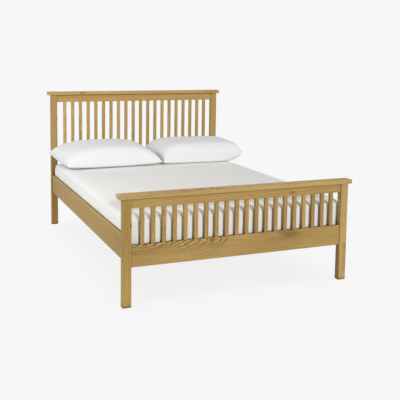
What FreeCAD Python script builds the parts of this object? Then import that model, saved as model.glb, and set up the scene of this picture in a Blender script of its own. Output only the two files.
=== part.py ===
import FreeCAD, Part
import math
import os
import re
import Sketcher
from FreeCAD import Placement, Rotation, Vector

# A wooden double bed: two slatted end panels joined by side rails, with slat
# bearers, a slatted base, a mattress and two pillows.
# X runs across the bed, +Y from the foot to the head, and Z up from the floor.
# The origin is on the floor, under the middle of the whole bed.

doc = FreeCAD.newDocument("PanelBed")
sheet = doc.addObject("Spreadsheet::Sheet", "Sizes")

# ---------------------------------------------------------------- sizes, mm
DRIVING_SIZES = [
    ("bed_width", 1450, "over the outer faces of the posts"),
    ("bed_length", 2000, "foot post front to head post back"),
    ("post_wide", 50, "across the bed"),
    ("post_deep", 40, "along the bed"),
    ("post_ease", 2, "chamfer of the long edges of the posts"),
    ("head_post_height", 1050, "floor to the underside of the head cap"),
    ("foot_post_height", 606, "floor to the underside of the foot cap"),
    ("stub_long", 12, "stub tenon on top of each post"),
    ("stub_wide", 30, "same tenon, across the bed"),
    ("stub_thick", 18, "same tenon, along the bed"),
    ("cap_thick", 25, "height of the cap boards"),
    ("cap_depth", 72, "width of the cap boards, along the bed"),
    ("cap_front", 8, "cap past the front face of the posts"),
    ("cap_side", 21, "cap past the outer face of each post"),
    ("cap_ease", 4, "rounding of the long edges of the caps"),
    ("rail_thick", 26, "thickness of the four cross rails"),
    ("rail_inset", 5, "cross rails behind the front of the posts"),
    ("rail_ease", 2, "chamfer of the long edges of the rails"),
    ("low_rail_height", 224, "underside of the low cross rails"),
    ("low_rail_deep", 124, "height of the low cross rails"),
    ("foot_top_rail_deep", 52, "height of the foot end's top rail"),
    ("head_top_rail_deep", 57, "height of the head end's top rail"),
    ("tenon_long", 25, "rail tenons into the posts"),
    ("tenon_thick", 10, "same tenons, along the bed"),
    ("tenon_shoulder", 9, "step above and below the rail tenons"),
    ("mortise_slack", 2, "glue space at the bottom of a mortise"),
    ("joint_gap", 0.15, "space on each side of a tenon or a shank"),
    ("slat_count", 20, "upright slats in each end panel"),
    ("slat_wide", 24, "across the bed"),
    ("slat_thick", 18, "along the bed"),
    ("slat_inset", 8, "slats behind the front of the posts"),
    ("slat_end_gap", 52, "post to the first slat"),
    ("slat_ease", 1.5, "chamfer of the long edges of the slats"),
    ("slat_tenon_long", 12, "slat tenons into the rails"),
    ("slat_tenon_wide", 18, "same tenons, across the bed"),
    ("slat_tenon_thick", 10, "same tenons, along the bed"),
    ("side_rail_height", 265, "underside of the side rails"),
    ("side_rail_deep", 140, "height of the side rails"),
    ("side_rail_thick", 24, "thickness of the side rails"),
    ("side_rail_inset", 5, "side rails inside the outer face of the posts"),
    ("bearer_wide", 24, "slat bearers along the side rails"),
    ("bearer_deep", 25, "height of the same bearers"),
    ("bearer_end_gap", 62, "post to the end of a side bearer"),
    ("centre_bearer_wide", 36, "bearer along the middle of the bed"),
    ("centre_bearer_deep", 60, "height of the same bearer"),
    ("bearer_tenon_long", 14, "centre bearer into the low rails"),
    ("bearer_tenon_wide", 20, "same tenon, across the bed"),
    ("bearer_tenon_deep", 40, "height of the same tenon"),
    ("leg_thick", 40, "square centre legs"),
    ("leg_taper", 6, "centre legs drawn in at the floor, each side"),
    ("leg_spread", 520, "between the two centre legs"),
    ("leg_pin_radius", 10, "pin of a centre leg in its bearer"),
    ("leg_pin_long", 30, "same pin, upwards"),
    ("base_slat_count", 13, "slats under the mattress"),
    ("base_slat_wide", 70, "along the bed"),
    ("base_slat_thick", 15, "height of the same slats"),
    ("base_slat_end_gap", 22, "post line to the first base slat"),
    ("base_slat_side_gap", 6, "side rail to the end of a base slat"),
    ("bracket_height", 60, "corner brackets"),
    ("bracket_lift", 45, "side rail's underside to the bracket"),
    ("bracket_thick", 3, "plate of the corner brackets"),
    ("bracket_rail_leg", 55, "leg of a bracket along the side rail"),
    ("bracket_post_leg", 20, "leg of a bracket across the post"),
    ("bolt_setback", 35, "post to the bolts in the rail leg"),
    ("bolt_radius", 4, "shank of a bracket bolt"),
    ("bolt_long", 14, "shank of a bracket bolt"),
    ("bolt_head_radius", 6.9, "middle to a corner of a bolt's hexagon head"),
    ("bolt_head_high", 5.5, "head of a bracket bolt"),
    ("soft_gap", 0.3, "between a soft piece and what carries it"),
    ("mattress_side_gap", 11, "side rail to the mattress"),
    ("mattress_foot_gap", 2, "foot posts to the mattress"),
    ("mattress_head_gap", 18, "head posts to the mattress"),
    ("mattress_deep", 200, "thickness of the mattress"),
    ("mattress_corner", 36, "corner radius seen from above"),
    ("mattress_roll", 34, "rounding of the mattress's top and bottom edges"),
    ("pillow_meeting", 46, "right of the bed's middle to where the pillows meet"),
    ("pillow_gap", 14, "between the pillows' facing ends"),
    ("left_pillow_reach", 23, "left pillow past the line of the posts"),
    ("right_pillow_reach", 71, "right pillow past the line of the posts"),
    ("pillow_back_gap", 9, "head posts to the back of a pillow"),
    ("left_pillow_depth", 395, "front seam to back seam, as it lies"),
    ("right_pillow_depth", 370, "right pillow, front seam to back seam"),
    ("pillow_thick", 165, "at the crown"),
    ("pillow_edge", 18, "thickness along the end seams"),
    ("pillow_draw", 12, "long seams drawn in between the corners"),
    ("pillow_seam_share", 0.28, "height of the seam, as a share of the thickness"),
    ("pillow_round_share", 0.5, "shoulder radius, as a share of the height over the seam"),
    ("left_outer_slant", 12.5, "degrees, outer end of the left pillow"),
    ("left_inner_slant", 12.5, "degrees, inner end of the left pillow"),
    ("right_inner_slant", 16, "degrees, inner end of the right pillow"),
    ("right_outer_slant", 2, "degrees, outer end of the right pillow"),
    ("left_pillow_turn", 1.5, "degrees, seen from above"),
    ("right_pillow_turn", 2, "degrees, seen from above, the other way"),
    ("left_pillow_tilt", 10, "degrees, back edge raised"),
    ("right_pillow_tilt", 12, "degrees, back edge raised"),
]
for row, (alias, value, note) in enumerate(DRIVING_SIZES, start=1):
    sheet.set(f"A{row}", alias)
    sheet.set(f"B{row}", str(value))
    sheet.set(f"C{row}", note)
    sheet.setAlias(f"B{row}", alias)
doc.recompute()

# Lengths that follow from the driving sizes.
INNER_WIDTH = "(bed_width - 2 * post_wide)"
INNER_LENGTH = "(bed_length - 2 * post_deep)"
FOOT_FRONT = "(0 - (bed_length - post_deep - 2 * cap_front + cap_depth) / 2)"
FOOT_POST_Y = f"({FOOT_FRONT} + post_deep / 2)"
HEAD_POST_Y = f"({FOOT_FRONT} + bed_length - post_deep / 2)"
POST_X = "(bed_width / 2 - post_wide / 2)"
MIDDLE_Y = f"({FOOT_FRONT} + bed_length / 2)"
RAIL_SHIFT = "(rail_inset + rail_thick / 2 - post_deep / 2)"
SLAT_SHIFT = "(slat_inset + slat_thick / 2 - post_deep / 2)"
SLAT_PITCH = f"(({INNER_WIDTH} - 2 * slat_end_gap - slat_wide) / (slat_count - 1))"
LOW_RAIL_TOP = "(low_rail_height + low_rail_deep)"
SIDE_RAIL_X = "(bed_width / 2 - side_rail_inset - side_rail_thick / 2)"
SIDE_RAIL_INNER_X = "(bed_width / 2 - side_rail_inset - side_rail_thick)"
BEARER_TOP = "(side_rail_height + bearer_deep)"
BASE_TOP = f"({BEARER_TOP} + base_slat_thick)"
BRACKET_MIDDLE_Z = "(side_rail_height + bracket_lift + bracket_height / 2)"
POST_BOLT_X = f"({SIDE_RAIL_INNER_X} - bracket_post_leg / 2)"
BOLT_HOLE = "(2 * bolt_radius + 2 * joint_gap)"
BOLT_REACH = "(bolt_long - bracket_thick + mortise_slack)"
MATTRESS_WIDE = f"(2 * {SIDE_RAIL_INNER_X} - 2 * mattress_side_gap)"
MATTRESS_LONG = f"({INNER_LENGTH} - mattress_foot_gap - mattress_head_gap)"
MATTRESS_Y = f"({MIDDLE_Y} + (mattress_foot_gap - mattress_head_gap) / 2)"
LEFT_PILLOW_WIDE = f"({INNER_WIDTH} / 2 + left_pillow_reach + pillow_meeting)"
RIGHT_PILLOW_START = "(pillow_meeting + pillow_gap)"
RIGHT_PILLOW_WIDE = f"({INNER_WIDTH} / 2 + right_pillow_reach - {RIGHT_PILLOW_START})"


def formula(text):
    """Write the names of sheet cells in a formula as references to the sheet."""
    return re.sub(r"\b([a-z]+(?:_[a-z]+)+)\b", r"Sizes.\1", text)


# A run shorter than this is none, mm.
LEVEL = 0.001


def size(text):
    """Work out a formula of sheet cells as a number."""
    cell = re.compile(r"\b([a-z]+(?:_[a-z]+)+)\b")
    terms = cell.sub(lambda name: repr(float(sheet.get(name.group(1)))), text)
    return float(FreeCAD.Units.Quantity(terms).Value)


def bind(item, **formulas):
    for name, text in formulas.items():
        item.setExpression(name, formula(text))


def place(item, x="0", y="0", z="0", where="Placement"):
    for axis, text in zip("xyz", (x, y, z)):
        item.setExpression(f"{where}.Base.{axis}", formula(text))


# ------------------------------------------------------- joinery operations
def new_body(label):
    body = doc.addObject("PartDesign::Body", label)
    body.Label = label
    return body


def new_feature(body, kind, name):
    """Add a feature to a body and make it the body's tip."""
    feature = body.newObject("PartDesign::" + kind, body.Label + "_" + name)
    if kind in ("Pad", "Pocket", "Fillet", "Chamfer"):
        body.Tip = feature
    return feature


def new_sketch(body, plane, x, y, z):
    """Start a sketch on one of the body's origin planes, shifted by x, y, z."""
    sketch = body.newObject("Sketcher::SketchObject", body.Label + "_sketch")
    support = next(item for item in body.Origin.OriginFeatures if item.Role == plane)
    sketch.AttachmentSupport = [(support, "")]
    sketch.MapMode = "FlatFace"
    place(sketch, x, y, z, where="AttachmentOffset")
    return sketch


def rectangle(sketch, wide, high):
    """Draw a rectangle centred on the sketch's origin."""
    corners = [Vector(-9, -9, 0), Vector(9, -9, 0), Vector(9, 9, 0), Vector(-9, 9, 0)]
    for side in range(4):
        sketch.addGeometry(Part.LineSegment(corners[side], corners[(side + 1) % 4]))
    for side in range(4):
        sketch.addConstraint(Sketcher.Constraint("Coincident", side, 2, (side + 1) % 4, 1))
    for side, way in enumerate(("Horizontal", "Vertical", "Horizontal", "Vertical")):
        sketch.addConstraint(Sketcher.Constraint(way, side))
    sketch.addConstraint(Sketcher.Constraint("Symmetric", 0, 1, 1, 2, -1, 1))
    across = sketch.addConstraint(Sketcher.Constraint("DistanceX", 0, 1, 0, 2, 18.0))
    upward = sketch.addConstraint(Sketcher.Constraint("DistanceY", 1, 1, 1, 2, 18.0))
    sketch.setExpression(f"Constraints[{across}]", formula(wide))
    sketch.setExpression(f"Constraints[{upward}]", formula(high))


def circle(sketch, diameter):
    """Draw a circle on the sketch's origin."""
    sketch.addGeometry(Part.Circle(Vector(0, 0, 0), Vector(0, 0, 1), 5))
    sketch.addConstraint(Sketcher.Constraint("Coincident", 0, 3, -1, 1))
    across = sketch.addConstraint(Sketcher.Constraint("Diameter", 0, 10.0))
    sketch.setExpression(f"Constraints[{across}]", formula(diameter))


def block(body, wide, deep, high, x="0", y="0", z="0"):
    """Pad a rectangle upwards from height z."""
    sketch = new_sketch(body, "XY_Plane", x, y, z)
    rectangle(sketch, wide, deep)
    pad = new_feature(body, "Pad", "block")
    pad.Profile = sketch
    bind(pad, Length=high)
    return pad


def pocket(body, sketch, depth, reverse):
    """Cut a sketch's outline into the body."""
    cut = new_feature(body, "Pocket", "pocket")
    cut.Profile = sketch
    cut.Reversed = reverse
    bind(cut, Length=depth)
    return cut


def mortise(body, plane, wide, high, depth, shift, reverse=False):
    """Cut a rectangular socket with the joint gap on each of its sides."""
    sketch = new_sketch(body, plane, *shift)
    rectangle(sketch, f"({wide}) + 2 * joint_gap", f"({high}) + 2 * joint_gap")
    return pocket(body, sketch, depth, reverse)


def bolt_hole(body, plane, depth, shift, reverse=False):
    """Cut a round hole for a bracket bolt."""
    sketch = new_sketch(body, plane, *shift)
    circle(sketch, BOLT_HOLE)
    return pocket(body, sketch, depth, reverse)


def ease(body, amount, kind, across):
    """Fillet or chamfer the edges of the body's tip that have no run across an axis.

    across holds the axes, out of X, Y and Z, that the chosen edges don't run along.
    """
    doc.recompute()
    base = body.Tip
    names = []
    for number, edge in enumerate(base.Shape.Edges, start=1):
        box = edge.BoundBox
        runs = {"X": box.XLength, "Y": box.YLength, "Z": box.ZLength}
        if all(runs[axis] < LEVEL for axis in across):
            names.append(f"Edge{number}")
    eased = new_feature(body, kind, "eased")
    eased.Base = (base, names)
    bind(eased, **{"Radius" if kind == "Fillet" else "Size": amount})


# ---------------------------------------------------------------- end panels
def make_post(label, side, end, post_height, top_rail_deep):
    """A square-cut post with a stub tenon on top and the rails' mortises.

    side is -1 on the left and 1 on the right; end is -1 at the foot, 1 at the head.
    """
    body = new_body(label)
    block(body, "post_wide", "post_deep", post_height)
    ease(body, "post_ease", "Chamfer", across="XY")
    block(body, "stub_wide", "stub_thick", "stub_long", z=post_height)
    inner_face = f"(0 - {side} * post_wide / 2)"
    rails = [
        ("low_rail_height", "low_rail_deep"),
        (f"({post_height} - {top_rail_deep})", top_rail_deep),
    ]
    for underside, deep in rails:
        mortise(
            body, "YZ_Plane", "tenon_thick", f"{deep} - 2 * tenon_shoulder",
            "tenon_long + mortise_slack",
            (RAIL_SHIFT, f"{underside} + {deep} / 2", inner_face),
            reverse=side > 0,
        )
    bolt_x = f"{side} * ({POST_BOLT_X} - {POST_X})"
    bolt_hole(
        body, "XZ_Plane", BOLT_REACH, (bolt_x, BRACKET_MIDDLE_Z, f"{end} * post_deep / 2"),
        reverse=end < 0,
    )
    place(body, x=f"{side} * {POST_X}", y=HEAD_POST_Y if end > 0 else FOOT_POST_Y)


def make_cap(label, post_y, post_height):
    """A board that lies on two posts and a top rail, on the posts' stub tenons."""
    body = new_body(label)
    block(body, "bed_width + 2 * cap_side", "cap_depth", "cap_thick")
    ease(body, "cap_ease", "Fillet", across="YZ")
    board_shift = "(cap_depth / 2 - cap_front - post_deep / 2)"
    for side in (-1, 1):
        mortise(
            body, "XY_Plane", "stub_wide", "stub_thick", "stub_long + mortise_slack",
            (f"{side} * {POST_X}", f"0 - {board_shift}", "0"), reverse=True,
        )
    place(body, y=f"{post_y} + {board_shift}", z=post_height)


def make_cross_rail(label, post_y, underside, deep, slats_above, end):
    """A rail tenoned into two posts, with a row of mortises for the slats."""
    body = new_body(label)
    block(body, INNER_WIDTH, "rail_thick", deep)
    ease(body, "rail_ease", "Chamfer", across="YZ")
    block(
        body, f"{INNER_WIDTH} + 2 * tenon_long", "tenon_thick",
        f"{deep} - 2 * tenon_shoulder", z="tenon_shoulder",
    )
    if slats_above:
        bearer_z = f"({BEARER_TOP} - centre_bearer_deep / 2 - low_rail_height)"
        mortise(
            body, "XZ_Plane", "bearer_tenon_wide", "bearer_tenon_deep",
            "bearer_tenon_long + mortise_slack",
            ("0", bearer_z, f"{end} * rail_thick / 2"), reverse=end < 0,
        )
    first_slat = mortise(
        body, "XY_Plane", "slat_tenon_wide", "slat_tenon_thick",
        "slat_tenon_long + mortise_slack",
        (f"0 - (slat_count - 1) * {SLAT_PITCH} / 2", f"{SLAT_SHIFT} - {RAIL_SHIFT}",
         deep if slats_above else "0"),
        reverse=not slats_above,
    )
    row = new_feature(body, "LinearPattern", "row")
    row.Originals = [first_slat]
    x_axis = next(item for item in body.Origin.OriginFeatures if item.Role == "X_Axis")
    row.Direction = (x_axis, [""])
    bind(row, Length=f"(slat_count - 1) * {SLAT_PITCH}", Occurrences="slat_count")
    body.Tip = row
    place(body, y=f"{post_y} + {RAIL_SHIFT}", z=underside)


def make_slats(prefix, post_y, top_rail_underside):
    """The row of upright slats between a low rail and a top rail."""
    free_length = f"({top_rail_underside} - {LOW_RAIL_TOP})"
    for number in range(int(size("slat_count"))):
        body = new_body(f"{prefix}_slat_{number + 1:02d}")
        block(body, "slat_wide", "slat_thick", free_length)
        ease(body, "slat_ease", "Chamfer", across="XY")
        block(
            body, "slat_tenon_wide", "slat_tenon_thick",
            f"{free_length} + 2 * slat_tenon_long", z="0 - slat_tenon_long",
        )
        x = f"({number} - (slat_count - 1) / 2) * {SLAT_PITCH}"
        place(body, x=x, y=f"{post_y} + {SLAT_SHIFT}", z=LOW_RAIL_TOP)


def make_end_panel(prefix, end, post_height, top_rail_deep):
    """Two posts, two rails, a row of slats and a cap."""
    post_y = HEAD_POST_Y if end > 0 else FOOT_POST_Y
    top_rail_underside = f"({post_height} - {top_rail_deep})"
    make_post(f"{prefix}_left_post", -1, end, post_height, top_rail_deep)
    make_post(f"{prefix}_right_post", 1, end, post_height, top_rail_deep)
    make_cross_rail(
        f"{prefix}_low_rail", post_y, "low_rail_height", "low_rail_deep", True, end
    )
    make_cross_rail(
        f"{prefix}_top_rail", post_y, top_rail_underside, top_rail_deep, False, end
    )
    make_slats(prefix, post_y, top_rail_underside)
    make_cap(f"{prefix}_cap", post_y, post_height)


# ------------------------------------------------- side rails and slat base
def make_side_rail(label, side):
    """A board between two posts, drilled inside for the bracket bolts."""
    body = new_body(label)
    block(body, "side_rail_thick", INNER_LENGTH, "side_rail_deep")
    ease(body, "rail_ease", "Chamfer", across="XZ")
    for end in (-1, 1):
        bolt_hole(
            body, "YZ_Plane", BOLT_REACH,
            (f"{end} * ({INNER_LENGTH} / 2 - bolt_setback)",
             f"{BRACKET_MIDDLE_Z} - side_rail_height", f"(0 - {side}) * side_rail_thick / 2"),
            reverse=side > 0,
        )
    place(body, x=f"{side} * {SIDE_RAIL_X}", y=MIDDLE_Y, z="side_rail_height")


def make_box(name, x, y, z, wide, long, high):
    """A box centred on x and y, standing on z."""
    box = doc.addObject("Part::Box", name)
    bind(box, Length=wide, Width=long, Height=high)
    place(box, x=f"{x} - ({wide}) / 2", y=f"{y} - ({long}) / 2", z=z)
    return box


def make_pin(name, radius, high, x, y, z, axis=Vector(0, 0, 1)):
    """A cylinder from x, y, z along an axis."""
    pin = doc.addObject("Part::Cylinder", name)
    bind(pin, Radius=radius, Height=high)
    pin.Placement = Placement(Vector(), Rotation(Vector(0, 0, 1), axis))
    place(pin, x=x, y=y, z=z)
    return pin


def make_hexagon(name, radius, high, x, y, z, axis):
    """A hexagon head from x, y, z along an axis."""
    head = doc.addObject("Part::Prism", name)
    bind(head, Circumradius=radius, Height=high)
    head.Placement = Placement(Vector(), Rotation(Vector(0, 0, 1), axis))
    place(head, x=x, y=y, z=z)
    return head


def join(name, kind, items):
    """A Part::MultiFuse or Part::Compound of several items."""
    joined = doc.addObject("Part::" + kind, name)
    setattr(joined, "Shapes" if kind == "MultiFuse" else "Links", items)
    joined.Label = name
    return joined


def cut_from(name, base, tools):
    """A Part::Cut of one item by several others."""
    cut = doc.addObject("Part::Cut", name)
    cut.Base = base
    cut.Tool = join(name + "_tools", "Compound", tools)
    return cut


LEG_TOP = f"({BEARER_TOP} - centre_bearer_deep)"


def leg_y(step):
    return f"{MIDDLE_Y} + {step} * leg_spread / 2"


def make_slat_bearers():
    """Two battens inside the side rails and one along the middle of the bed."""
    side_long = f"{INNER_LENGTH} - 2 * bearer_end_gap"
    battens = []
    for side in (-1, 1):
        x = f"{side} * ({SIDE_RAIL_INNER_X} - bearer_wide / 2)"
        name = "bearer_left" if side < 0 else "bearer_right"
        battens.append(make_box(
            name, x, MIDDLE_Y, "side_rail_height", "bearer_wide", side_long, "bearer_deep",
        ))
    rail_faces_y = f"({MIDDLE_Y} + {RAIL_SHIFT})"
    centre_long = f"({INNER_LENGTH} + post_deep - rail_thick)"
    bar = make_box(
        "bearer_bar", "0", rail_faces_y, LEG_TOP, "centre_bearer_wide", centre_long,
        "centre_bearer_deep",
    )
    tenon_z = f"{BEARER_TOP} - centre_bearer_deep / 2 - bearer_tenon_deep / 2"
    tongue = make_box(
        "bearer_tongue", "0", rail_faces_y, tenon_z, "bearer_tenon_wide",
        f"{centre_long} + 2 * bearer_tenon_long", "bearer_tenon_deep",
    )
    sockets = [
        make_pin(
            f"leg_socket_{step + 2}", "leg_pin_radius + joint_gap",
            "leg_pin_long + mortise_slack", "0", leg_y(step), LEG_TOP,
        )
        for step in (-1, 1)
    ]
    centre = cut_from("bearer_centre", join("bearer_blank", "MultiFuse", [bar, tongue]), sockets)
    join("slat_bearers", "Compound", battens + [centre])


def make_centre_legs():
    """Two tapered legs under the centre bearer, each with a pin on top."""
    legs = []
    for step in (-1, 1):
        leg = doc.addObject("Part::Wedge", f"leg_{step + 2}")
        bind(
            leg, Xmin="leg_taper - leg_thick / 2", Xmax="leg_thick / 2 - leg_taper",
            Zmin="leg_taper - leg_thick / 2", Zmax="leg_thick / 2 - leg_taper",
            X2min="0 - leg_thick / 2", X2max="leg_thick / 2",
            Z2min="0 - leg_thick / 2", Z2max="leg_thick / 2", Ymin="0 * leg_thick", Ymax=LEG_TOP,
        )
        leg.Placement = Placement(Vector(), Rotation(Vector(1, 0, 0), 90))
        place(leg, y=leg_y(step))
        pin = make_pin(
            f"leg_pin_{step + 2}", "leg_pin_radius", "leg_pin_long", "0", leg_y(step), LEG_TOP
        )
        legs.append(join(f"leg_with_pin_{step + 2}", "MultiFuse", [leg, pin]))
    join("centre_legs", "Compound", legs)


def make_base_slats():
    """The slats that carry the mattress, spread evenly between the posts."""
    wide = f"2 * ({SIDE_RAIL_INNER_X} - base_slat_side_gap)"
    first_y = f"({FOOT_FRONT} + post_deep + base_slat_end_gap + base_slat_wide / 2)"
    run = f"({INNER_LENGTH} - 2 * base_slat_end_gap - base_slat_wide)"
    slats = []
    for number in range(int(size("base_slat_count"))):
        y = f"({first_y} + {number} * {run} / (base_slat_count - 1))"
        slats.append(make_box(
            f"base_slat_{number + 1}", "0", y, BEARER_TOP, wide, "base_slat_wide",
            "base_slat_thick",
        ))
    join("base_slats", "Compound", slats)


def make_corner_fittings():
    """An angle bracket in each corner, bolted to the post and to the side rail."""
    brackets = []
    bolts = []
    for side in (-1, 1):
        for end in (-1, 1):
            key = f"{'left' if side < 0 else 'right'}_{'foot' if end < 0 else 'head'}"
            post_face = f"({MIDDLE_Y} + {end} * {INNER_LENGTH} / 2)"
            rail_face = f"({side} * {SIDE_RAIL_INNER_X})"
            z = "(side_rail_height + bracket_lift)"
            rail_leg = make_box(
                f"rail_leg_{key}", f"({rail_face} - {side} * bracket_thick / 2)",
                f"({post_face} - {end} * bracket_rail_leg / 2)", z,
                "bracket_thick", "bracket_rail_leg", "bracket_height",
            )
            post_leg = make_box(
                f"post_leg_{key}", f"({rail_face} - {side} * bracket_post_leg / 2)",
                f"({post_face} - {end} * bracket_thick / 2)", z,
                "bracket_post_leg", "bracket_thick", "bracket_height",
            )
            blank = join(f"bracket_blank_{key}", "MultiFuse", [rail_leg, post_leg])
            drills = []
            seats = [
                ("rail", Vector(side, 0, 0), f"({rail_face} - {side} * bracket_thick)",
                 f"({post_face} - {end} * bolt_setback)"),
                ("post", Vector(0, end, 0), f"({side} * {POST_BOLT_X})",
                 f"({post_face} - {end} * bracket_thick)"),
            ]
            for leg, way, x, y in seats:
                place_at = (x, y, BRACKET_MIDDLE_Z)
                name = f"{leg}_{key}"
                shank = make_pin(f"shank_{name}", "bolt_radius", "bolt_long", *place_at, way)
                head = make_hexagon(
                    f"head_{name}", "bolt_head_radius", "bolt_head_high", *place_at, -way
                )
                bolts.append(join(f"bolt_{name}", "MultiFuse", [shank, head]))
                drills.append(make_pin(
                    f"drill_{name}", "bolt_radius + joint_gap", "bracket_thick", *place_at, way
                ))
            brackets.append(cut_from(f"bracket_{key}", blank, drills))
    join("corner_brackets", "Compound", brackets)
    join("bracket_bolts", "Compound", bolts)


# -------------------------------------------------------------- soft pieces
def make_mattress():
    """A soft slab with rounded corners and rolled top and bottom edges."""
    body = new_body("mattress")
    block(body, MATTRESS_WIDE, MATTRESS_LONG, "mattress_deep")
    ease(body, "mattress_corner", "Fillet", across="XY")
    ease(body, "mattress_roll", "Fillet", across="Z")
    place(body, y=MATTRESS_Y, z=f"{BASE_TOP} + soft_gap")
    return body


def pillow_section(along, slant, half, thick):
    """One upright slice of a pillow: flat below, sloped up to the seams, crowned above."""
    seam = size("pillow_seam_share") * thick
    rise = thick - seam
    shoulder = size("pillow_round_share") * rise
    crown = ((half - shoulder) ** 2 + rise ** 2 - shoulder ** 2) / (2 * (rise - shoulder))
    lean = math.atan2(half - shoulder, crown - rise)
    meet_y = crown * math.sin(lean)
    meet_z = thick - crown + crown * math.cos(lean)
    half_turn = (math.pi / 2 + lean) / 2

    def point(y, z):
        return Vector(along - y * math.sin(slant), y * math.cos(slant), z)

    def shoulder_point(way):
        y = half - shoulder + shoulder * math.sin(half_turn)
        return point(way * y, seam + shoulder * math.cos(half_turn))

    edges = [
        Part.makeLine(point(seam - half, 0), point(half - seam, 0)),
        Part.makeLine(point(half - seam, 0), point(half, seam)),
        Part.Arc(point(half, seam), shoulder_point(1), point(meet_y, meet_z)).toShape(),
        Part.Arc(point(meet_y, meet_z), point(0, thick), point(-meet_y, meet_z)).toShape(),
        Part.Arc(point(-meet_y, meet_z), shoulder_point(-1), point(-half, seam)).toShape(),
        Part.makeLine(point(-half, seam), point(seam - half, 0)),
    ]
    return Part.Wire(edges)


# Slices in each half of a pillow, and how strongly they crowd towards its ends.
PILLOW_STEPS = 13
PILLOW_CROWDING = 2.5


def make_pillow(label, start, wide, depth, slants, turn, tilt, mattress):
    """A plump pillow with drawn-in seams, tipped back against the head posts.

    start is the x of its left end, slants are the leans of its left and right ends, and
    turn is its turn seen from above.
    """
    thick = size("pillow_thick")
    edge = size("pillow_edge")
    first_slant, last_slant = (size(slant) for slant in slants)
    sections = []
    for step in range(-PILLOW_STEPS, PILLOW_STEPS + 1):
        inward = 1 - abs(step) / PILLOW_STEPS
        share = math.copysign(1 - inward ** PILLOW_CROWDING, step)
        plump = edge + (thick - edge) * math.sqrt(1 - share ** 4)
        half = (size(depth) - size("pillow_draw") * (1 - share ** 2)) / 2
        slant = first_slant + (last_slant - first_slant) * (share + 1) / 2
        sections.append(pillow_section(share * size(wide) / 2, math.radians(slant), half, plump))
    shape = Part.makeLoft(sections, True, True)
    lie = Rotation(Vector(0, 0, 1), size(turn)).multiply(Rotation(Vector(1, 0, 0), size(tilt)))
    shape.Placement = Placement(Vector(), lie)
    bounds = shape.optimalBoundingBox(False)
    seat = Vector(
        size(f"{start} + {wide} / 2"),
        size(f"{HEAD_POST_Y} - post_deep / 2 - pillow_back_gap") - bounds.YMax,
        size(f"{BASE_TOP} + mattress_deep + mattress_roll") - bounds.ZMin,
    )
    # The pillow comes down until it lies on the mattress.
    gap = size("soft_gap")
    for step in range(PILLOW_STEPS):
        shape.Placement = Placement(seat, lie)
        seat.z -= shape.distToShape(mattress.Shape)[0] - gap
    pillow = doc.addObject("Part::Feature", label)
    pillow.Shape = shape
    pillow.Placement = Placement(seat, lie)


# --------------------------------------------------------------- assembly
make_end_panel("head", 1, "head_post_height", "head_top_rail_deep")
make_end_panel("foot", -1, "foot_post_height", "foot_top_rail_deep")
make_side_rail("left_side_rail", -1)
make_side_rail("right_side_rail", 1)
make_slat_bearers()
make_centre_legs()
make_base_slats()
make_corner_fittings()
mattress_body = make_mattress()
doc.recompute()
make_pillow(
    "left_pillow", f"(pillow_meeting - {LEFT_PILLOW_WIDE})", LEFT_PILLOW_WIDE, "left_pillow_depth",
    ("left_outer_slant", "left_inner_slant"), "left_pillow_turn", "left_pillow_tilt",
    mattress_body,
)
make_pillow(
    "right_pillow", RIGHT_PILLOW_START, RIGHT_PILLOW_WIDE, "right_pillow_depth",
    ("right_inner_slant", "right_outer_slant"), "0 - right_pillow_turn", "right_pillow_tilt",
    mattress_body,
)
doc.recompute()

# ------------------------------------------------------- checks and export
nodes = [item for item in doc.Objects if item.TypeId == "PartDesign::Body"]
groups = ["slat_bearers", "centre_legs", "base_slats", "corner_brackets", "bracket_bolts"]
soft = ["left_pillow", "right_pillow"]
nodes += [doc.getObject(name) for name in groups + soft]
for item in doc.Objects:
    if "Invalid" in item.State or "Error" in item.State:
        raise RuntimeError(f"{item.Label} did not compute")
os.makedirs("parts", exist_ok=True)
for node in nodes:
    if node.Shape.isNull() or not node.Shape.isValid():
        raise RuntimeError(f"{node.Label} has no valid shape")
    node.Shape.exportStep(f"parts/{node.Label}.step")
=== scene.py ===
import math

import bpy
import numpy as np
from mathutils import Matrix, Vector


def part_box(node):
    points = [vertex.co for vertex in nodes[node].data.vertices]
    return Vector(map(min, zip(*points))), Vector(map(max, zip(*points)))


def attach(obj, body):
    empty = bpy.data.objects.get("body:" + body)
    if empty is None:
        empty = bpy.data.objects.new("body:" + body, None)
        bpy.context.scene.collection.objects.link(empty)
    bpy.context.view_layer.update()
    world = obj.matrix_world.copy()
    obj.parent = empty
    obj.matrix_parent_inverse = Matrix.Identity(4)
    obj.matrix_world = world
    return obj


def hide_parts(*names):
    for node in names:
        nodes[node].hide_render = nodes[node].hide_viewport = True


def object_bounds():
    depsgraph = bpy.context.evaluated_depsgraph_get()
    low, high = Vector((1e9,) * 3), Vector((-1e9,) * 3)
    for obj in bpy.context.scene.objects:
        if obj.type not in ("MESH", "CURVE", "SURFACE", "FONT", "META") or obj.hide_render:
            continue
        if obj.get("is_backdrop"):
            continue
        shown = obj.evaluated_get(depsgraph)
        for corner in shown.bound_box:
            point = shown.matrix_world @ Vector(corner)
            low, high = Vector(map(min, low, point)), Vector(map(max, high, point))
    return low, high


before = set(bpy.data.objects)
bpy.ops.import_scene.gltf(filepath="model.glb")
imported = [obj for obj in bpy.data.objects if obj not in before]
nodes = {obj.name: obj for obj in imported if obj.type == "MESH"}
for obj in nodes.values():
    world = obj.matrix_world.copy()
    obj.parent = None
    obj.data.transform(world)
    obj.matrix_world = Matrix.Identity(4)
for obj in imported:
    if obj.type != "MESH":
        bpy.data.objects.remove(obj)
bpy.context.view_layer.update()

bpy.ops.object.select_all(action="DESELECT")

# ---------------------------------------------------------------------------
# The four posts. Square-cut oak with eased edges, standing on their own end
# grain and satin lacquered. The two at the foot are shorter than the two at
# the head, and each has taken the lacquer a little differently.


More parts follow.
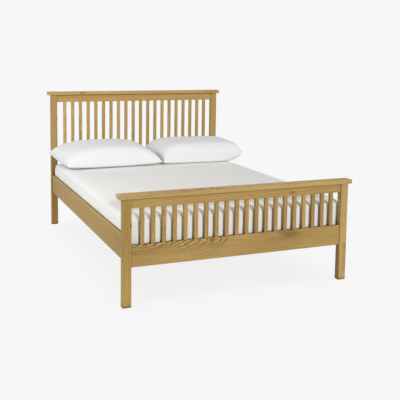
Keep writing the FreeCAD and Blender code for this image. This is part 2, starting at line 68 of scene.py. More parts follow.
def put(tree, kind, settings=None, **inputs):
    """Add a shader node with its settings, and its inputs as values or sockets.

    An input is named with _ for a space, or by its number as i0, i1 and so on.
    """
    node = tree.nodes.new("ShaderNode" + kind)
    for name, value in (settings or {}).items():
        setattr(node, name, value)
    for name, value in inputs.items():
        key = int(name[1:]) if name[0] == "i" and name[1:].isdigit() else name.replace("_", " ")
        if isinstance(value, bpy.types.NodeSocket):
            tree.links.new(value, node.inputs[key])
        else:
            node.inputs[key].default_value = value
    return node


def calc(tree, operation, first, second=0.0, third=0.0, clamp=False):
    """One step of arithmetic between shader values."""
    settings = {"operation": operation, "use_clamp": clamp}
    return put(tree, "Math", settings, i0=first, i1=second, i2=third).outputs[0]


def fade(tree, value, low, high, to_low=0.0, to_high=1.0):
    """Turn a range of a shader value smoothly into another range."""
    node = put(
        tree, "MapRange", {"interpolation_type": "SMOOTHSTEP"}, Value=value, From_Min=low,
        From_Max=high, To_Min=to_low, To_Max=to_high,
    )
    return node.outputs[0]


def blend_colours(tree, share, first, second, way="MIX"):
    """Mix two colours by a share."""
    node = put(tree, "Mix", {"data_type": "RGBA", "blend_type": way}, i0=share)
    for key, colour in ((6, first), (7, second)):
        if isinstance(colour, bpy.types.NodeSocket):
            tree.links.new(colour, node.inputs[key])
        else:
            node.inputs[key].default_value = colour
    return node.outputs[2]


def new_group(name, inputs, outputs):
    """Start a shader node group with named sockets."""
    tree = bpy.data.node_groups.new(name, "ShaderNodeTree")
    for label, kind, value in inputs:
        socket = tree.interface.new_socket(label, in_out="INPUT", socket_type="NodeSocket" + kind)
        if value is not None:
            socket.default_value = value
    for label, kind in outputs:
        tree.interface.new_socket(label, in_out="OUTPUT", socket_type="NodeSocket" + kind)
    return tree, tree.nodes.new("NodeGroupInput").outputs, tree.nodes.new("NodeGroupOutput").inputs


def use_group(tree, group, **inputs):
    """Place a group in a material and set its sockets."""
    return put(tree, "Group", {"node_tree": group}, **inputs).outputs


def new_material(name):
    """Start a material; gives it, its node tree and its Principled shader."""
    material = bpy.data.materials.new(name)
    material.use_nodes = True
    return material, material.node_tree, material.node_tree.nodes["Principled BSDF"]


def axes(tree, vector):
    """The X, Y and Z of a shader vector."""
    return put(tree, "SeparateXYZ", Vector=vector).outputs


def noise(tree, place, scale, detail, stretch=None):
    """Noise over a place, which may be drawn out first; gives its value and its colour."""
    if stretch:
        place = put(tree, "Mapping", Vector=place, Scale=stretch).outputs[0]
    return put(tree, "TexNoise", Vector=place, Scale=scale, Detail=detail).outputs


def make_wood_grain():
    """Growth rings round a leaning axis, long fibres and open pores, along Z."""
    tree, given, out = new_group(
        "wood grain",
        [("Vector", "Vector", None), ("Light", "Color", (0.6, 0.42, 0.18, 1)),
         ("Dark", "Color", (0.38, 0.23, 0.08, 1)), ("Ring", "Float", 0.007),
         ("Lean", "Float", 0.03), ("Dive", "Float", 0.0), ("Figure", "Float", 0.5)],
        [("Color", "Color"), ("Roughness", "Float"), ("Height", "Float")],
    )
    board = given["Vector"]
    place = axes(tree, board)
    wander = axes(tree, noise(tree, board, 6.0, 2.0, (1.0, 1.0, 0.22))["Color"])
    ripple = axes(tree, noise(tree, board, 38.0, 2.0, (1.0, 1.0, 0.6))["Color"])
    lean = calc(tree, "MULTIPLY", place["Z"], given["Lean"])
    across = calc(tree, "ADD", place["X"], lean)
    across = calc(tree, "MULTIPLY_ADD", wander["X"], 0.05, across)
    across = calc(tree, "MULTIPLY_ADD", ripple["X"], 0.016, across)
    deep = calc(tree, "MULTIPLY_ADD", place["Z"], given["Dive"], place["Y"])
    deep = calc(tree, "MULTIPLY_ADD", wander["Y"], 0.05, deep)
    deep = calc(tree, "MULTIPLY_ADD", ripple["Y"], 0.012, deep)
    across = calc(tree, "MULTIPLY", across, across)
    radius = calc(tree, "SQRT", calc(tree, "MULTIPLY_ADD", deep, deep, across))
    turns = calc(tree, "DIVIDE", radius, given["Ring"])
    uneven = put(tree, "TexNoise", {"noise_dimensions": "1D"}, W=turns, Scale=0.45, Detail=1.0)
    turns = calc(tree, "MULTIPLY_ADD", uneven.outputs[0], 1.6, turns)
    ring = calc(tree, "FRACT", turns)
    early = calc(tree, "MULTIPLY", fade(tree, ring, 0.0, 0.12), fade(tree, ring, 0.12, 0.75, 1, 0))
    fibre = noise(tree, board, 1.0, 4.0, (260.0, 260.0, 7.0))[0]
    pore = noise(tree, board, 1.0, 1.0, (1100.0, 1100.0, 40.0))[0]
    pore = calc(tree, "MULTIPLY", fade(tree, pore, 0.56, 0.7), fade(tree, early, 0.1, 0.9, 0.3, 1))
    broad = noise(tree, board, 1.0, 2.0, (9.0, 9.0, 1.6))[0]
    tone = calc(tree, "MULTIPLY", early, given["Figure"])
    tone = calc(tree, "MULTIPLY_ADD", fade(tree, fibre, 0.3, 0.75), 0.32, tone)
    tone = calc(tree, "MULTIPLY_ADD", fade(tree, broad, 0.3, 0.75), 0.3, tone)
    tone = calc(tree, "MULTIPLY_ADD", pore, 0.3, tone, clamp=True)
    tree.links.new(blend_colours(tree, tone, given["Light"], given["Dark"]), out["Color"])
    tree.links.new(fade(tree, tone, 0.0, 1.0, 0.45, 0.65), out["Roughness"])
    height = calc(tree, "MULTIPLY_ADD", fibre, 0.35, calc(tree, "MULTIPLY", pore, -0.8))
    tree.links.new(height, out["Height"])
    return tree


def make_eased_edge():
    """Round the shading of sharp edges and find them, for wear along them."""
    tree, given, out = new_group(
        "eased edge", [("Radius", "Float", 0.003)], [("Normal", "Vector"), ("Edge", "Float")]
    )
    bevel = put(tree, "Bevel", {"samples": 6}, Radius=given["Radius"]).outputs[0]
    true = put(tree, "NewGeometry").outputs["True Normal"]
    facing = put(tree, "VectorMath", {"operation": "DOT_PRODUCT"}, i0=bevel, i1=true)
    tree.links.new(bevel, out["Normal"])
    tree.links.new(fade(tree, facing.outputs["Value"], 0.82, 0.995, 1, 0), out["Edge"])
    return tree


def make_knot():
    """A small dark whorl in the wood, drawn out along the grain."""
    tree, given, out = new_group(
        "knot",
        [("Vector", "Vector", None), ("Place", "Vector", (0, 0, 0)), ("Size", "Float", 0.01),
         ("Stretch", "Vector", (1, 1, 1))],
        [("Mask", "Float")],
    )
    away = put(tree, "VectorMath", {"operation": "SUBTRACT"}, i0=given["Vector"], i1=given["Place"])
    away = put(tree, "VectorMath", {"operation": "MULTIPLY"}, i0=away.outputs[0], i1=given["Stretch"])
    reach = put(tree, "VectorMath", {"operation": "LENGTH"}, i0=away.outputs[0]).outputs["Value"]
    ragged = calc(tree, "ADD", noise(tree, given["Vector"], 60.0, 2.0)[0], 0.5)
    reach = calc(tree, "DIVIDE", reach, calc(tree, "MULTIPLY", given["Size"], ragged))
    tree.links.new(fade(tree, reach, 0.2, 1.0, 1, 0), out["Mask"])
    return tree


WOOD_GRAIN = make_wood_grain()
EASED_EDGE = make_eased_edge()
KNOT = make_knot()
UPRIGHT = (0, 0, 0)
ACROSS = (0, math.pi / 2, 0)
LENGTHWAYS = (math.pi / 2, 0, 0)
FINGER_WIDTH = 0.004
FINGER_SLOPE = 2.5
EDGE_RADIUS = 0.0035
CORNER_REACH = 0.03


def wood(name, light, dark, turn=UPRIGHT, shift=(0.1, 0.06, 0), ring=0.007, lean=0.03, dive=0.0,
         figure=0.5, arched=None, knots=(), pieced=(), painted_low_light=None, corner_shade=0.85):
    """Satin lacquered wood with its grain along Z, turned to run along the board.

    shift places the board in the log; ring is the width of a year's growth; lean and dive
    tilt the heart away from the board; figure is how strongly the rings show; arched ends
    the figure beyond an X and below a Z; knots holds place, size, stretch and darkness of the
    knots that show, in the bed's frame; pieced holds the lower corner, upper corner and
    darkness of the short lengths glued in with a finger joint. The last two paint light and
    shade into the colour: the first is the factor by which the wood is painted lighter near
    the floor, painted light; the second is how dark it is painted in its tight corners and
    under overhangs, painted shade.
    has changed at the floor; grime is how dark the wood is in its tight corners.
    """
    material, tree, shader = new_material(name)
    place = put(tree, "TexCoord").outputs["Object"]
    spot = axes(tree, place)
    if arched:
        along = fade(tree, spot["X"], arched[0] - 0.12, arched[0], 1, 0.1)
        upward = fade(tree, spot["Z"], arched[1] - 0.02, arched[1] + 0.015, 0.15, 1)
        figure = calc(tree, "MULTIPLY", calc(tree, "MULTIPLY", along, upward), figure)
    board = put(tree, "Mapping", {"vector_type": "TEXTURE"}, Vector=place, Rotation=turn)
    board = put(tree, "Mapping", Vector=board.outputs[0], Location=shift)
    grain = use_group(tree, WOOD_GRAIN, Vector=board.outputs[0], Light=(*light, 1), Dark=(*dark, 1),
                      Ring=ring, Lean=lean, Dive=dive, Figure=figure)
    colour = grain["Color"]
    for where, size, stretch, share in knots:
        mask = use_group(tree, KNOT, Vector=place, Place=where, Size=size, Stretch=stretch)["Mask"]
        colour = blend_colours(tree, calc(tree, "MULTIPLY", mask, share), colour,
                               tuple(c * 0.42 for c in dark) + (1,))
    for low, high, share in pieced:
        inside = share
        comb = calc(tree, "PINGPONG", spot["X"], FINGER_WIDTH)
        level = calc(tree, "MULTIPLY_ADD", comb, FINGER_SLOPE, spot["Z"])
        for value, start, end in ((spot["X"], low[0], high[0]), (level, low[1], high[1])):
            inside = calc(tree, "MULTIPLY", inside, calc(tree, "GREATER_THAN", value, start))
            inside = calc(tree, "MULTIPLY", inside, calc(tree, "LESS_THAN", value, end))
        colour = blend_colours(tree, inside, colour, tuple(c * 0.8 for c in dark) + (1,))
    # Painted light: the colour is made lighter toward the floor, standing in for light on the lower
    # part.
    if painted_low_light:
        lighter_low_share = fade(tree, spot["Z"], 0.04, 0.36, 1, 0)
        colour = blend_colours(tree, lighter_low_share, colour, (*painted_low_light, 1), "MULTIPLY")
    edge = use_group(tree, EASED_EDGE, Radius=EDGE_RADIUS)
    worn = calc(tree, "MULTIPLY", edge["Edge"], 0.35)
    pale = tuple(min(1, c * 1.35) for c in light) + (1,)
    colour = blend_colours(tree, worn, colour, pale)
    # Painted shade: the colour darkens in tight corners, joints and under overhangs, found by ambient
    # occlusion.
    close = put(tree, "AmbientOcclusion", {"samples": 8}, Distance=CORNER_REACH).outputs["AO"]
    painted_corner_shade = fade(tree, close, 0.4, 0.9, corner_shade, 0)
    colour = blend_colours(tree, painted_corner_shade, colour, tuple(c * 0.3 for c in dark) + (1,))
    tree.links.new(colour, shader.inputs["Base Color"])
    tree.links.new(grain["Roughness"], shader.inputs["Roughness"])
    bump = put(tree, "Bump", Strength=0.35, Distance=0.0006, Height=grain["Height"],
               Normal=edge["Normal"])
    tree.links.new(bump.outputs[0], shader.inputs["Normal"])
    shader.inputs["Specular IOR Level"].default_value = 0.12
    shader.inputs["Coat Weight"].default_value = 0.03
    shader.inputs["Coat Roughness"].default_value = 0.3
    return material


def finish_nodes(names, material):
    """Give CAD nodes a finish."""
    for name in names:
        mesh = nodes[name].data
        mesh.materials.clear()
        mesh.materials.append(material)


HONEY = (0.545, 0.36, 0.125)
BROWN = (0.32, 0.190, 0.055)
# This post is painted lighter toward the floor, painted light.
finish_nodes(["foot_left_post"], wood(
    "foot left post oak", (0.44, 0.285, 0.082), (0.25, 0.145, 0.038), shift=(0.83, 1.06, 0.2),
    lean=0.02, knots=[((-0.678, -1.008, 0.457), 0.011, (1, 1, 0.6), 0.85)],
    painted_low_light=(1.26, 1.32, 1.45),
))
finish_nodes(["foot_right_post"], wood(
    "foot right post oak", (0.60, 0.415, 0.165), (0.42, 0.265, 0.09), shift=(-0.62, 1.04, 0.9),
    lean=0.025, pieced=[((0.70, 0.06), (0.73, 0.205), 0.4), ((0.70, 0.205), (0.73, 0.24), 0.7)],
))
# This post is painted lighter and a little redder toward the floor, painted light.
finish_nodes(["head_left_post"], wood(
    "head left post oak", (0.43, 0.285, 0.105), BROWN, shift=(0.78, -0.93, 0.4), lean=0.03,
    knots=[((-0.676, 0.952, 0.86), 0.009, (1, 1, 0.5), 0.8)], painted_low_light=(1.5, 1.3, 1.2),
))
finish_nodes(["head_right_post"], wood(
    "head right post oak", (0.46, 0.31, 0.11), BROWN, shift=(-0.66, -0.91, 0.1), lean=0.02,
))

# ---------------------------------------------------------------------------
# The two caps. Thick flat oak boards with their long edges rounded over, which
# lie on the posts and the top rails and are held by stub tenons on the posts.
finish_nodes(["foot_cap"], wood(
    "foot cap oak", (0.63, 0.43, 0.175), (0.38, 0.24, 0.08), ACROSS, shift=(-0.66, 1.02, 0.9),
    ring=0.006, lean=0.015,
))
finish_nodes(["head_cap"], wood(
    "head cap oak", HONEY, BROWN, ACROSS, shift=(-1.1, -0.9, 0.7), ring=0.006, lean=0.015,
    knots=[((-0.47, 0.944, 1.066), 0.012, (0.35, 1, 1), 0.55)],
))

# ---------------------------------------------------------------------------
# The cross rails. One board under each cap and one deep board at the bottom
# of each end, tenoned into the posts. The foot's low rail is cut near the
# heart, so that it shows arched figure on the left and a knot on the right.
finish_nodes(["foot_low_rail"], wood(
    "foot low rail oak", HONEY, (0.21, 0.12, 0.032), ACROSS, shift=(0.325, 1.10, 0.0),
    ring=0.0075, lean=0.0, dive=0.15, figure=0.8, arched=(-0.05, 0.285),
    knots=[((0.32, -1.003, 0.325), 0.05, (0.5, 1, 1.2), 0.42)],
))
finish_nodes(["foot_top_rail"], wood(
    "foot top rail oak", HONEY, BROWN, ACROSS, shift=(-0.5, 1.06, 0.1), ring=0.009, lean=0.04,
    knots=[((0.33, -1.003, 0.575), 0.016, (0.5, 1, 1), 0.5)],
))
finish_nodes(["head_top_rail", "head_low_rail"], wood(
    "head rail oak", (0.52, 0.355, 0.13), BROWN, ACROSS, shift=(-0.95, -0.9, 0.6), ring=0.009,
))

# ---------------------------------------------------------------------------
# The upright slats. Forty short oak strips cut from many boards, so that each
# has its own tone and its own part of the figure.
SLAT_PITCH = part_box("foot_slat_02")[0].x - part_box("foot_slat_01")[0].x
REDDISH = (0.52, 0.31, 0.13)


def slat_oak(name, bright):
    """Oak whose tone and figure change from one slat to the next."""
    material = wood(name, HONEY, BROWN, shift=(0, 0.03, 0), ring=0.006)
    tree = material.node_tree
    place = put(tree, "TexCoord").outputs["Object"]
    number = calc(tree, "FLOOR", calc(tree, "DIVIDE", axes(tree, place)["X"], SLAT_PITCH))
    number = calc(tree, "ADD", number, 40 * bright)
    chance = put(tree, "TexWhiteNoise", {"noise_dimensions": "1D"}, W=number)
    spread = put(tree, "VectorMath", {"operation": "SCALE"}, i0=chance.outputs["Color"], Scale=0.9)
    moved = put(tree, "VectorMath", {"operation": "ADD"}, i0=place, i1=spread.outputs[0])
    grain = next(n for n in tree.nodes if n.type == "GROUP" and n.node_tree == WOOD_GRAIN)
    tree.links.new(moved.outputs[0], grain.inputs["Vector"])
    share = fade(tree, chance.outputs["Value"], 0.0, 1.0, 0.0, 1.0)
    pale = tuple(c * 1.12 * bright for c in HONEY) + (1,)
    deep = tuple(c * 0.82 * bright for c in HONEY) + (1,)
    tone = blend_colours(tree, share, deep, pale)
    red = put(tree, "SeparateColor", Color=chance.outputs["Color"]).outputs[2]
    tone = blend_colours(tree, fade(tree, red, 0.3, 1.0, 0, 0.7), tone, (*REDDISH, 1))
    tree.links.new(tone, grain.inputs["Light"])
    return material


finish_nodes([f"foot_slat_{n + 1:02d}" for n in range(20)], slat_oak("foot slat oak", 1.02))
finish_nodes([f"head_slat_{n + 1:02d}" for n in range(20)], slat_oak("head slat oak", 1.0))

# ---------------------------------------------------------------------------
# The side rails. Two deep oak boards between the head posts and the foot
# posts, which carry the slatted base inside.
# The side rails get weaker painted shade in their corners, under the mattress's swell.
finish_nodes(["left_side_rail"], wood(
    "left side rail oak", (0.455, 0.295, 0.085), (0.28, 0.165, 0.045), LENGTHWAYS,
    shift=(0.69, -0.5, 0.2), ring=0.010, lean=0.03, corner_shade=0.3,
))
finish_nodes(["right_side_rail"], wood(
    "right side rail oak", HONEY, BROWN, LENGTHWAYS, shift=(-0.75, -0.2, 0.8), ring=0.010,
    corner_shade=0.3,
))

# ---------------------------------------------------------------------------
# The slatted base. Planed pine battens screwed inside the side rails, a pine
# bearer along the middle with its two legs, and thirteen pine boards laid
# across all three.
PINE = (0.74, 0.56, 0.33)
PINE_RING = (0.60, 0.38, 0.17)
finish_nodes(["slat_bearers"], wood(
    "bearer pine", PINE, PINE_RING, LENGTHWAYS, shift=(0.2, -0.3, 0.1), ring=0.006, lean=0.02,
))
finish_nodes(["base_slats"], wood(
    "base slat pine", (0.78, 0.60, 0.36), PINE_RING, ACROSS, shift=(0.4, 0.3, 0.5), ring=0.007,
    lean=0.05,
))
finish_nodes(["centre_legs"], wood(
    "leg pine", PINE, PINE_RING, shift=(0.05, 0.1, 0.2), ring=0.006,
))

# ---------------------------------------------------------------------------
# The corner brackets and their bolts. Folded steel angles and hexagon bolts,
# bright zinc plated, with the plating's faint spangle and rubbed edges.


def make_zinc():
    """Zinc plate: a spangle of crystals under a cloudy film, bright along the edges."""
    material, tree, shader = new_material("zinc plated steel")
    place = put(tree, "TexCoord").outputs["Object"]
    spangle = put(tree, "TexVoronoi", Vector=place, Scale=260.0).outputs["Color"]
    spangle = put(tree, "SeparateColor", Color=spangle).outputs[0]
    cloud = noise(tree, place, 40.0, 3.0)[0]
    shade = calc(tree, "MULTIPLY_ADD", spangle, 0.4, calc(tree, "MULTIPLY", cloud, 0.6))
    colour = blend_colours(tree, shade, (0.52, 0.54, 0.58, 1), (0.74, 0.75, 0.76, 1))
    edge = use_group(tree, EASED_EDGE, Radius=0.001)
    rubbed = calc(tree, "MULTIPLY", edge["Edge"], 0.5)
    colour = blend_colours(tree, rubbed, colour, (0.8, 0.8, 0.8, 1))
    tree.links.new(colour, shader.inputs["Base Color"])
    tree.links.new(fade(tree, shade, 0.0, 1.0, 0.28, 0.5), shader.inputs["Roughness"])
    tree.links.new(edge["Normal"], shader.inputs["Normal"])
    shader.inputs["Metallic"].default_value = 1.0
    return material


finish_nodes(["corner_brackets", "bracket_bolts"], make_zinc())

# ---------------------------------------------------------------------------
# The mattress. A sprung mattress in a smooth white fitted cover. It lies loose
# on the base slats; its sides swell over the side rails and its foot end
# towards the slats, and the top edges and corners are rolled.


def make_woven_cotton():
    """Fine crossing threads, soft creases and a slight unevenness of the dye."""
    tree, given, out = new_group(
        "woven cotton",
        [("Vector", "Vector", None), ("Thread", "Float", 0.0009), ("Crease", "Float", 9.0)],
        [("Shade", "Float"), ("Height", "Float")],
    )
    place = axes(tree, given["Vector"])
    pace = calc(tree, "DIVIDE", math.tau, given["Thread"])
    waves = [calc(tree, "SINE", calc(tree, "MULTIPLY", place[axis], pace)) for axis in "XYZ"]
    weave = calc(tree, "MULTIPLY", calc(tree, "MULTIPLY_ADD", waves[2], 0.7, waves[0]), waves[1])
    slub = noise(tree, given["Vector"], 420.0, 2.0)[0]
    crease = put(tree, "TexNoise", Vector=given["Vector"], Scale=given["Crease"], Detail=3.0,
                 Distortion=0.6).outputs[0]
    height = calc(tree, "MULTIPLY_ADD", weave, 0.04, calc(tree, "MULTIPLY", slub, 0.06))
    height = calc(tree, "MULTIPLY_ADD", crease, 1.0, height)
    tree.links.new(height, out["Height"])
    shade = calc(tree, "MULTIPLY_ADD", slub, 0.5, calc(tree, "MULTIPLY", crease, 0.5))
    tree.links.new(fade(tree, shade, 0.3, 0.7), out["Shade"])
    return tree


WOVEN_COTTON = make_woven_cotton()


def cotton(name, light, dark, crease, crease_height):
    """Matt woven cotton with a soft bloom of loose fibres."""
    material, tree, shader = new_material(name)
    place = put(tree, "TexCoord").outputs["Object"]
    cloth = use_group(tree, WOVEN_COTTON, Vector=place, Crease=crease)
    tree.links.new(blend_colours(tree, cloth["Shade"], (*dark, 1), (*light, 1)),
                   shader.inputs["Base Color"])
    tree.links.new(fade(tree, cloth["Shade"], 0, 1, 0.9, 0.78), shader.inputs["Roughness"])
    bump = put(tree, "Bump", Strength=0.5, Distance=crease_height, Height=cloth["Height"])
    tree.links.new(bump.outputs[0], shader.inputs["Normal"])
    shader.inputs["Specular IOR Level"].default_value = 0.2
    shader.inputs["Sheen Weight"].default_value = 0.08
    return material


def choose(piece):
    """Select one piece alone."""
    bpy.ops.object.select_all(action="DESELECT")
    bpy.context.view_layer.objects.active = piece
    piece.select_set(True)


def apply_modifiers(piece):
    """Apply every modifier of a piece in turn."""
    choose(piece)
    for modifier in list(piece.modifiers):
        bpy.ops.object.modifier_apply(modifier=modifier.name)


def points_of(piece):
    """Every point of a piece's mesh, as rows of X, Y and Z."""
    flat = np.empty(len(piece.data.vertices) * 3)
    piece.data.vertices.foreach_get("co", flat)
    return flat.reshape(-1, 3)


def move_points(piece, points):
    """Give every point of a piece's mesh a new place."""
    piece.data.vertices.foreach_set("co", points.ravel())
    piece.data.update()


def ramp(values, start, length):
    """0 up to a start, then evenly up to 1 over a length."""
    return np.clip((values - start) / length, 0, 1)


mattress_low, mattress_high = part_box("mattress")
mattress_middle = (mattress_low + mattress_high) / 2
half = np.array((mattress_high - mattress_low) / 2)
rail_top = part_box("left_side_rail")[1].z
clear_of_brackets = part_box("corner_brackets")[1].z + 0.002
clear_of_posts = -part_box("foot_left_post")[1].x - 0.020
MATTRESS_CUTS = 71
EDGE_CROWDING = 1.6
# Radius of the rolled edges along X, Y and Z: beside the brackets, over the
# rails and in the open above.
ROLL_LOW = np.array([0.024, 0.020, 0.030])
ROLL_MIDDLE = np.array([0.018, 0.018, 0.030])
ROLL_TOP = np.array([0.034, 0.046, 0.030])
OPEN_FROM = 0.455
OPEN_OVER = 0.02
SWELL_STEP = 0.008
RAIL_CLEARANCE = 0.0006
SIDE_SWELL = 0.020
SWELL_UNDER_RAIL_TOP = 0.35
FOOT_SWELL = 0.009
FOOT_SWELL_FROM = 0.312
FOOT_DROP = 0.014
FOOT_DROP_LENGTH = 0.10
LUMP_HEIGHT = 0.0016
TOP_SINK = 0.0018

bpy.ops.mesh.primitive_cube_add(size=2)
mattress = bpy.context.object
mattress.name = "mattress_cover"
choose(mattress)
bpy.ops.object.mode_set(mode="EDIT")
bpy.ops.mesh.select_all(action="SELECT")
bpy.ops.mesh.subdivide(number_cuts=MATTRESS_CUTS)
bpy.ops.object.mode_set(mode="OBJECT")

spots = points_of(mattress)
spots = np.sign(spots) * (1 - (1 - np.abs(spots)) ** EDGE_CROWDING) * half
high = spots[:, 2] + mattress_middle.z
in_open = ramp(high, OPEN_FROM, OPEN_OVER)
by_rail = ramp(high, clear_of_brackets, SWELL_STEP) * (1 - in_open)
roll = ROLL_LOW + np.outer(by_rail, ROLL_MIDDLE - ROLL_LOW) + np.outer(in_open, ROLL_TOP - ROLL_LOW)
core = np.clip(spots, roll - half, half - roll)
reach = (spots - core) / roll
length = np.maximum(np.linalg.norm(reach, axis=1, keepdims=True), 1e-9)
spots = core + np.where(length > 1e-6, reach / length, 0) * roll

high = spots[:, 2] + mattress_middle.z
swell = SWELL_UNDER_RAIL_TOP * ramp(high, clear_of_brackets + 0.002, SWELL_STEP)
swell += (1 - SWELL_UNDER_RAIL_TOP) * ramp(high, rail_top + RAIL_CLEARANCE, SWELL_STEP / 2)
side = np.clip(np.abs(spots[:, 0]) / half[0], 0, 1) ** 8
spots[:, 0] += np.sign(spots[:, 0]) * SIDE_SWELL * swell * side
foot = np.clip(-spots[:, 1] / half[1], 0, 1) ** 60
between_posts = ramp(-np.abs(spots[:, 0]), -clear_of_posts, 0.03)
spots[:, 1] -= FOOT_SWELL * foot * between_posts * ramp(high, FOOT_SWELL_FROM, 0.03)
top = np.clip(spots[:, 2] / half[2], 0, 1) ** 3
from_foot = np.clip(1 - (spots[:, 1] + half[1]) / FOOT_DROP_LENGTH, 0, 1)
spots[:, 2] -= FOOT_DROP * from_foot ** 2 * top
lumps = np.sin(spots[:, 1] * 5.1 + spots[:, 0] * 2.3) * np.sin(spots[:, 0] * 4.3 + 0.7)
spots[:, 2] += (LUMP_HEIGHT * lumps - TOP_SINK) * top
move_points(mattress, spots + np.array(mattress_middle))
choose(mattress)
bpy.ops.object.shade_smooth()
mattress.data.materials.append(cotton(
    "mattress cover cotton", (0.88, 0.875, 0.85), (0.865, 0.86, 0.835), 4.0, 0.002))
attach(mattress, "mattress")
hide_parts("mattress")

# ---------------------------------------------------------------------------
# The two pillows. Plump pillows in white cotton cases: two sheets sewn together
# all round and blown up by the filling, so that the corners stay pinched. They
# lie loose on the mattress with their backs raised.
pillow_cotton = cotton("pillow case cotton", (0.80, 0.81, 0.82), (0.78, 0.79, 0.80), 14.0, 0.002)
PILLOW_REST = mattress_high.z + 0.0006
PILLOW_HEM = 0.004
# How full the upper sheet stands over the seam and how far the lower one hangs.
UPPER_SHARE = 0.72
LOWER_SHARE = -0.28
# How far the case may give from its cut form, and how softly its underside flattens.
CASE_GIVE = 0.005
PRESS_SOFTNESS = 0.006
FILLING_FRAMES = 18


def crowded(across):
    """Bring a row's points closer together near its two ends."""
    return np.sin(across * math.pi / 2) * 0.35 + across * 0.65


def turned(points, axis, degrees):
    """Turn points about X, Y or Z."""
    first, second = ((1, 2), (2, 0), (0, 1))["XYZ".index(axis)]
    angle = math.radians(degrees)
    out = points.copy()
    out[:, first] = points[:, first] * math.cos(angle) - points[:, second] * math.sin(angle)
    out[:, second] = points[:, first] * math.sin(angle) + points[:, second] * math.cos(angle)
    return out


def make_pillow(node, wide, deep, thick, middle, tilt, turn, slants, crowns, draws, sink, lifts):
    """A filled pillowcase: its two sheets blown up, posed and pressed on the mattress.

    tilt raises its back and turn swings it, in degrees; slants lean the two ends; crowns set
    how flat the top is along and across; draws pull the left end, the right end and the long
    sides in between the corners; sink is how deep it is pressed on the mattress; lifts raise
    the right end's front and back corners.
    """
    bpy.ops.mesh.primitive_grid_add(x_subdivisions=120, y_subdivisions=72, size=2)
    pillow = bpy.context.object
    pillow.name = node + "_case"
    sheets = pillow.modifiers.new("two sheets", "SOLIDIFY")
    sheets.thickness = 0.02
    sheets.offset = 0
    apply_modifiers(pillow)
    flat = points_of(pillow)
    u = crowded(np.clip(flat[:, 0], -1, 1))
    v = crowded(np.clip(flat[:, 1], -1, 1))
    lean = np.radians(slants[0] + (slants[1] - slants[0]) * (u + 1) / 2)
    drawn = np.where(u < 0, draws[0], draws[1]) * (1 - v ** 2) * np.abs(u) ** 3
    x = wide / 2 * u * (1 - drawn) - deep / 2 * v * np.tan(lean)
    y = deep / 2 * v * (1 - draws[2] * (1 - u ** 2) * np.abs(v) ** 3)
    full = ((1 - np.abs(u) ** crowns[0]) * (1 - np.abs(v) ** crowns[1])).clip(0) ** 0.55
    share = np.where(flat[:, 2] > 0, UPPER_SHARE, LOWER_SHARE)
    z = share * thick * full + np.sign(flat[:, 2]) * PILLOW_HEM / 2
    start = np.stack([x, y, z], 1)
    move_points(pillow, start)
    filled = pillow.modifiers.new("filling", "CLOTH")
    cloth = filled.settings
    cloth.quality = 5
    cloth.mass = 0.3
    cloth.tension_stiffness = 12
    cloth.compression_stiffness = 12
    cloth.shear_stiffness = 4
    cloth.bending_stiffness = 0.15
    cloth.use_pressure = True
    cloth.uniform_pressure_force = 4
    cloth.effector_weights.gravity = 0
    for step in range(1, FILLING_FRAMES + 1):
        bpy.context.scene.frame_set(step)
    apply_modifiers(pillow)
    bpy.context.scene.frame_set(1)
    moved = points_of(pillow) - start
    far = np.maximum(np.linalg.norm(moved, axis=1, keepdims=True), 1e-9)
    start = start + moved / far * CASE_GIVE * np.tanh(far / CASE_GIVE)
    right = np.clip(u, 0, 1) ** 3
    start[:, 2] += right * (lifts[0] * (1 - v) / 2 + lifts[1] * (1 + v) / 2)
    posed = turned(turned(start, "X", tilt), "Z", turn)
    posed += np.array([middle[0], middle[1], PILLOW_REST - sink - posed[:, 2].min()])
    above = posed[:, 2] - PILLOW_REST
    pressed = PRESS_SOFTNESS * np.log1p(np.exp(np.clip(above / PRESS_SOFTNESS, -50, 6)))
    posed[:, 2] = PILLOW_REST + np.where(above > 5 * PRESS_SOFTNESS, above, pressed)
    move_points(pillow, posed)
    finer = pillow.modifiers.new("finer", "SUBSURF")
    finer.levels = finer.render_levels = 1
    apply_modifiers(pillow)
    bpy.ops.object.shade_smooth()
    pillow.data.materials.append(pillow_cotton)
    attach(pillow, node)
    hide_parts(node)


make_pillow(
    "left_pillow", wide=0.762, deep=0.392, thick=0.168, middle=(-0.339, 0.730), tilt=8.5,
    turn=1.1, slants=(9.3, 10.0), crowns=(3.04, 4.74), draws=(-0.02, 0.031, 0.062), sink=0.011,
    lifts=(0, 0),
)
make_pillow(
    "right_pillow", wide=0.720, deep=0.360, thick=0.185, middle=(0.428, 0.739), tilt=8.9,
    turn=-4.0, slants=(14.0, 1.6), crowns=(5.39, 5.0), draws=(0.0, 0.0, 0.100), sink=0.030,
    lifts=(0.057, -0.033),
)

# ---------------------------------------------------------------------------
# The studio. A pale floor and surround, a low lamp in front whose light falls
# through the slats, a softbox on the left, weak lamps behind and on the right,
# and the camera.
bpy.ops.object.select_all(action="DESELECT")
bpy.ops.mesh.primitive_plane_add(size=120, location=(0, 0, 0))
floor = bpy.context.object
floor.name = "studio_floor"
floor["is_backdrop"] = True
BACKDROP = 0.931
FLOOR_SHADOW = 0.89
SHADOW_REACH = 0.45
floor_paint, tree, plain_shader = new_material("pale floor")
tree.nodes.remove(plain_shader)
path = put(tree, "LightPath").outputs
seen = calc(tree, "MAXIMUM", path["Is Camera Ray"], path["Is Glossy Ray"])
seen = calc(tree, "MAXIMUM", seen, path["Is Transmission Ray"])
open_sky = put(tree, "AmbientOcclusion", {"samples": 24}, Distance=SHADOW_REACH).outputs["AO"]
shadow = fade(tree, open_sky, 0.0, 1.0, BACKDROP * FLOOR_SHADOW, BACKDROP)
glow = put(tree, "Emission", Color=(1, 1, 1, 1), Strength=shadow)
matt = put(tree, "BsdfDiffuse", Color=(0.8, 0.8, 0.8, 1))
both = put(tree, "MixShader", i0=seen, i1=matt.outputs[0], i2=glow.outputs[0])
tree.links.new(both.outputs[0], tree.nodes["Material Output"].inputs["Surface"])
floor.data.materials.append(floor_paint)

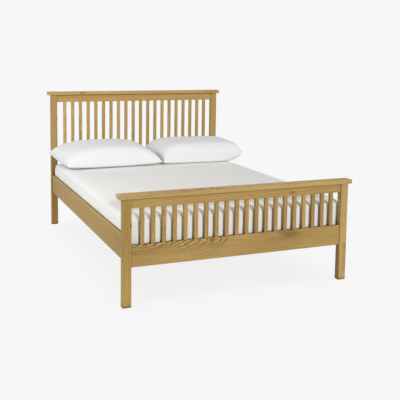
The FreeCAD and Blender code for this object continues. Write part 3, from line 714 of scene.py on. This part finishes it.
SURROUND = 0.27
GLOSSY_SHARE = 0.4
world = bpy.data.worlds.new("studio surround")
bpy.context.scene.world = world
world.use_nodes = True
tree = world.node_tree
path = put(tree, "LightPath").outputs
seen = calc(tree, "MAXIMUM", path["Is Camera Ray"], path["Is Transmission Ray"])
seen = calc(tree, "MULTIPLY_ADD", path["Is Glossy Ray"], GLOSSY_SHARE, seen, clamp=True)
surround = blend_colours(tree, seen, (SURROUND, SURROUND, SURROUND, 1),
                         (BACKDROP, BACKDROP, BACKDROP, 1))
tree.links.new(surround, tree.nodes["Background"].inputs["Color"])


def add_sun(name, azimuth, elevation, spread, light):
    """A broad lamp far away; azimuth 0 is in front of the foot, -90 on the left."""
    lamp = bpy.data.lights.new(name, "SUN")
    lamp.energy = light * math.pi
    lamp.angle = math.radians(spread)
    sun = bpy.data.objects.new(name, lamp)
    bpy.context.scene.collection.objects.link(sun)
    sun.rotation_euler = (math.radians(90 - elevation), 0, math.radians(azimuth))


def add_softbox(name, place, aim, wide, high, light):
    """A softbox near the bed, which gives this much light where it aims."""
    lamp = bpy.data.lights.new(name, "AREA")
    lamp.shape = "RECTANGLE"
    lamp.size = wide
    lamp.size_y = high
    reach = Vector(aim) - Vector(place)
    lamp.energy = light * (math.pi * reach.length) ** 2
    box = bpy.data.objects.new(name, lamp)
    bpy.context.scene.collection.objects.link(box)
    box.location = place
    box.rotation_euler = reach.to_track_quat("-Z", "Y").to_euler()
    box.visible_camera = False


add_sun("front_lamp", azimuth=9, elevation=18, spread=7, light=0.57)
add_sun("back_lamp", azimuth=200, elevation=60, spread=40, light=0.10)
add_sun("rear_lamp", azimuth=190, elevation=15, spread=30, light=0.34)
add_sun("right_lamp", azimuth=95, elevation=12, spread=30, light=0.16)
add_softbox("left_softbox", place=(-3.2, -0.4, 2.3), aim=(-0.72, -0.2, 0.45), wide=1.6,
            high=1.2, light=0.52)

# The camera looks a little down, with its lens shifted so that upright edges
# stay nearly upright.
camera_data = bpy.data.cameras.new("camera")
camera_data.lens = 61.44
camera_data.sensor_width = 36
camera_data.shift_x = 0.046
camera_data.shift_y = -0.18985
camera = bpy.data.objects.new("camera", camera_data)
bpy.context.scene.collection.objects.link(camera)
camera.location = (-1.785, -4.47609, 1.40069)
camera.rotation_euler = (math.radians(83.9996), math.radians(-0.6343), math.radians(-21.8557))
bpy.context.scene.camera = camera

bpy.context.scene.view_settings.view_transform = "Standard"

low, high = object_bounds()
